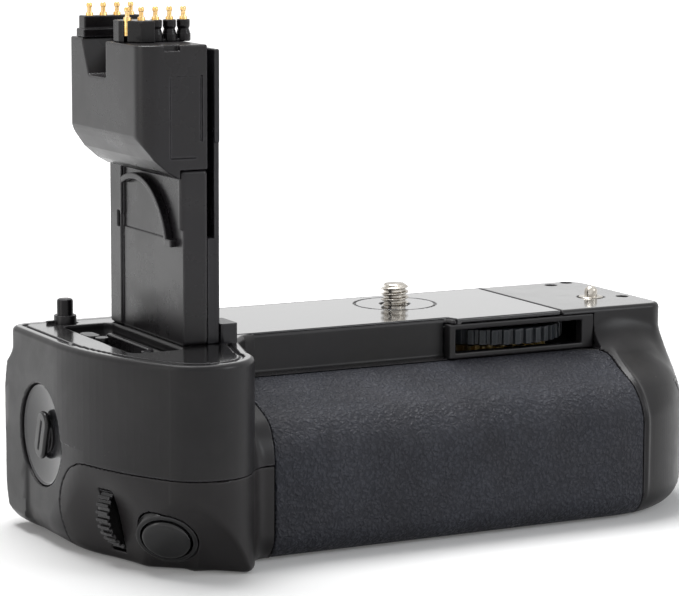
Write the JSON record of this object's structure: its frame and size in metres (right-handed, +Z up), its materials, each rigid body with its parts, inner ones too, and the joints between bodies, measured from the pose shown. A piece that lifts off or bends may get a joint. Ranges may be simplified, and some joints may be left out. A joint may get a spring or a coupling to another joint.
{
  "type": "camera battery grip",
  "caption": "Vertical battery grip for a camera: leather-grained body with deck, thumbwheel drive for a camera screw, tall battery stalk with sprung contacts, and a slide-in battery tray.",
  "frame": {"origin": "centre of the bounding box at the resting face", "axes": "+X along the length from the control end to the battery end, +Y from the front grip to the thumb rest, +Z up towards the camera"},
  "size_m": [0.152, 0.0762, 0.1154],
  "materials": {
    "body_plastic": "fine moulded texture, satin",
    "cover_plastic": "fine moulded texture, satin",
    "deck_plastic": "smooth satin",
    "grip_skin": "pebbled leather grain",
    "stalk_plastic": "fine moulded texture, satin",
    "rail_plastic": "smooth satin",
    "strip_plastic": "satin",
    "inner_plastic": "plain moulded",
    "button_plastic": "satin",
    "lever_plastic": "semi-gloss",
    "wheel_plastic": "ribbed, satin",
    "gear_brass": "machined",
    "screw_steel": "turned",
    "sheet_steel": "pressed",
    "small_steel": "plated",
    "contact_gold": "gold plated",
    "board": "circuit board",
    "harness": "flexible ribbon",
    "pack_plastic": "satin"
  },
  "bodies": {
    "body": {"main_body": "body_plastic", "control_cover": "cover_plastic", "top_plate": "deck_plastic", "base_plate": "body_plastic", "front_grip_skin": "grip_skin", "thumb_rest_skin": "grip_skin", "wheel_housing": "body_plastic", "bay_frame": "inner_plastic", "gear_frame": "sheet_steel", "wheel_axle": "screw_steel", "locating_pin": "screw_steel", "tripod_socket": "screw_steel", "stalk_column": "stalk_plastic", "stalk_rail": "rail_plastic", "contact_block": "stalk_plastic", "door_catch_arch": "stalk_plastic", "rear_contact_strip": "strip_plastic", "front_contact_strip": "strip_plastic", "stalk_harness": "harness", "hinge_rail": "body_plastic", "hinge_bar": "body_plastic", "hinge_post": "body_plastic", "stalk_step": "stalk_plastic", "stalk_latch_pin": "small_steel", "peg_collar": "strip_plastic", "shutter_collar": "lever_plastic", "shutter_switch": "inner_plastic", "dial_axle": "screw_steel", "dial_bracket": "sheet_steel", "power_escutcheon": "button_plastic", "power_detent": "inner_plastic", "rear_button_board": "board", "control_board": "board", "bay_contact_block": "inner_plastic", "bay_contacts": "contact_gold", "case_screws": "small_steel", "frame_screws": "small_steel"},
    "wheel": {"attachment_wheel": "wheel_plastic", "wheel_gear": "gear_brass"},
    "screw": {"camera_screw": "screw_steel", "screw_gear": "gear_brass", "screw_clip": "sheet_steel"},
    "dial": {"main_dial": "wheel_plastic"},
    "shutter": {"shutter_button": "button_plastic"},
    "power": {"power_lever": "lever_plastic"},
    "lock_button": {"exposure_lock_button": "button_plastic"},
    "focus_button": {"focus_point_button": "button_plastic"},
    "start_button": {"focus_start_button": "button_plastic"},
    "rear_pins": {"rear_contact_pins": "contact_gold"},
    "front_pins": {"front_contact_pins": "contact_gold"},
    "peg": {"interlock_peg": "strip_plastic"},
    "tray": {"battery_tray": "inner_plastic", "tray_end_cap": "body_plastic", "battery_outer": "pack_plastic", "battery_inner": "pack_plastic"},
    "knob": {"tray_knob": "button_plastic", "tray_bolt": "small_steel"}
  },
  "joints": [
    {"name": "wheel_spin", "type": "hinge", "parent": "body", "child": "wheel", "pos_m": [0.033, 0.008, 0.0399], "axis": [0, 0, 1], "continuous": true},
    {"name": "screw_spin", "type": "hinge", "parent": "body", "child": "screw", "pos_m": [0.01401, 0.01697, 0.04], "axis": [0, 0, 1], "continuous": true},
    {"name": "dial_spin", "type": "hinge", "parent": "body", "child": "dial", "pos_m": [-0.06415, -0.01209, 0.01125], "axis": [0.3156, -0.9489, 0], "continuous": true},
    {"name": "shutter_press", "type": "slide", "parent": "body", "child": "shutter", "axis": [0.5421, 0.6461, 0.5373], "range_m": [0, 0.0012], "stiffness_N_per_m": 800},
    {"name": "power_turn", "type": "hinge", "parent": "body", "child": "power", "pos_m": [-0.076, 0.0109, 0.0235], "axis": [-1, 0, 0], "range_deg": [0, 45]},
    {"name": "lock_press", "type": "slide", "parent": "body", "child": "lock_button", "axis": [0, -1, 0], "range_m": [0, 0.0006], "stiffness_N_per_m": 600},
    {"name": "focus_press", "type": "slide", "parent": "body", "child": "focus_button", "axis": [0, -1, 0], "range_m": [0, 0.0006], "stiffness_N_per_m": 600},
    {"name": "start_press", "type": "slide", "parent": "body", "child": "start_button", "axis": [0, -1, 0], "range_m": [0, 0.0006], "stiffness_N_per_m": 600},
    {"name": "rear_pins_press", "type": "slide", "parent": "body", "child": "rear_pins", "axis": [0, 0, -1], "range_m": [0, 0.0012], "stiffness_N_per_m": 400},
    {"name": "front_pins_press", "type": "slide", "parent": "body", "child": "front_pins", "axis": [0, 0, -1], "range_m": [0, 0.0012], "stiffness_N_per_m": 400},
    {"name": "peg_press", "type": "slide", "parent": "body", "child": "peg", "axis": [0, 0, -1], "range_m": [0, 0.0025], "stiffness_N_per_m": 300},
    {"name": "tray_slide", "type": "slide", "parent": "body", "child": "tray", "axis": [1, 0, 0], "range_m": [0, 0.115]},
    {"name": "knob_turn", "type": "hinge", "parent": "tray", "child": "knob", "pos_m": [0.072, 0.0048, 0.0162], "axis": [-1, 0, 0], "range_deg": [0, 90]}
  ],
  "couplings": [
    {"joint": "screw_spin", "follows": "wheel_spin", "ratio": -1.625}
  ]
}
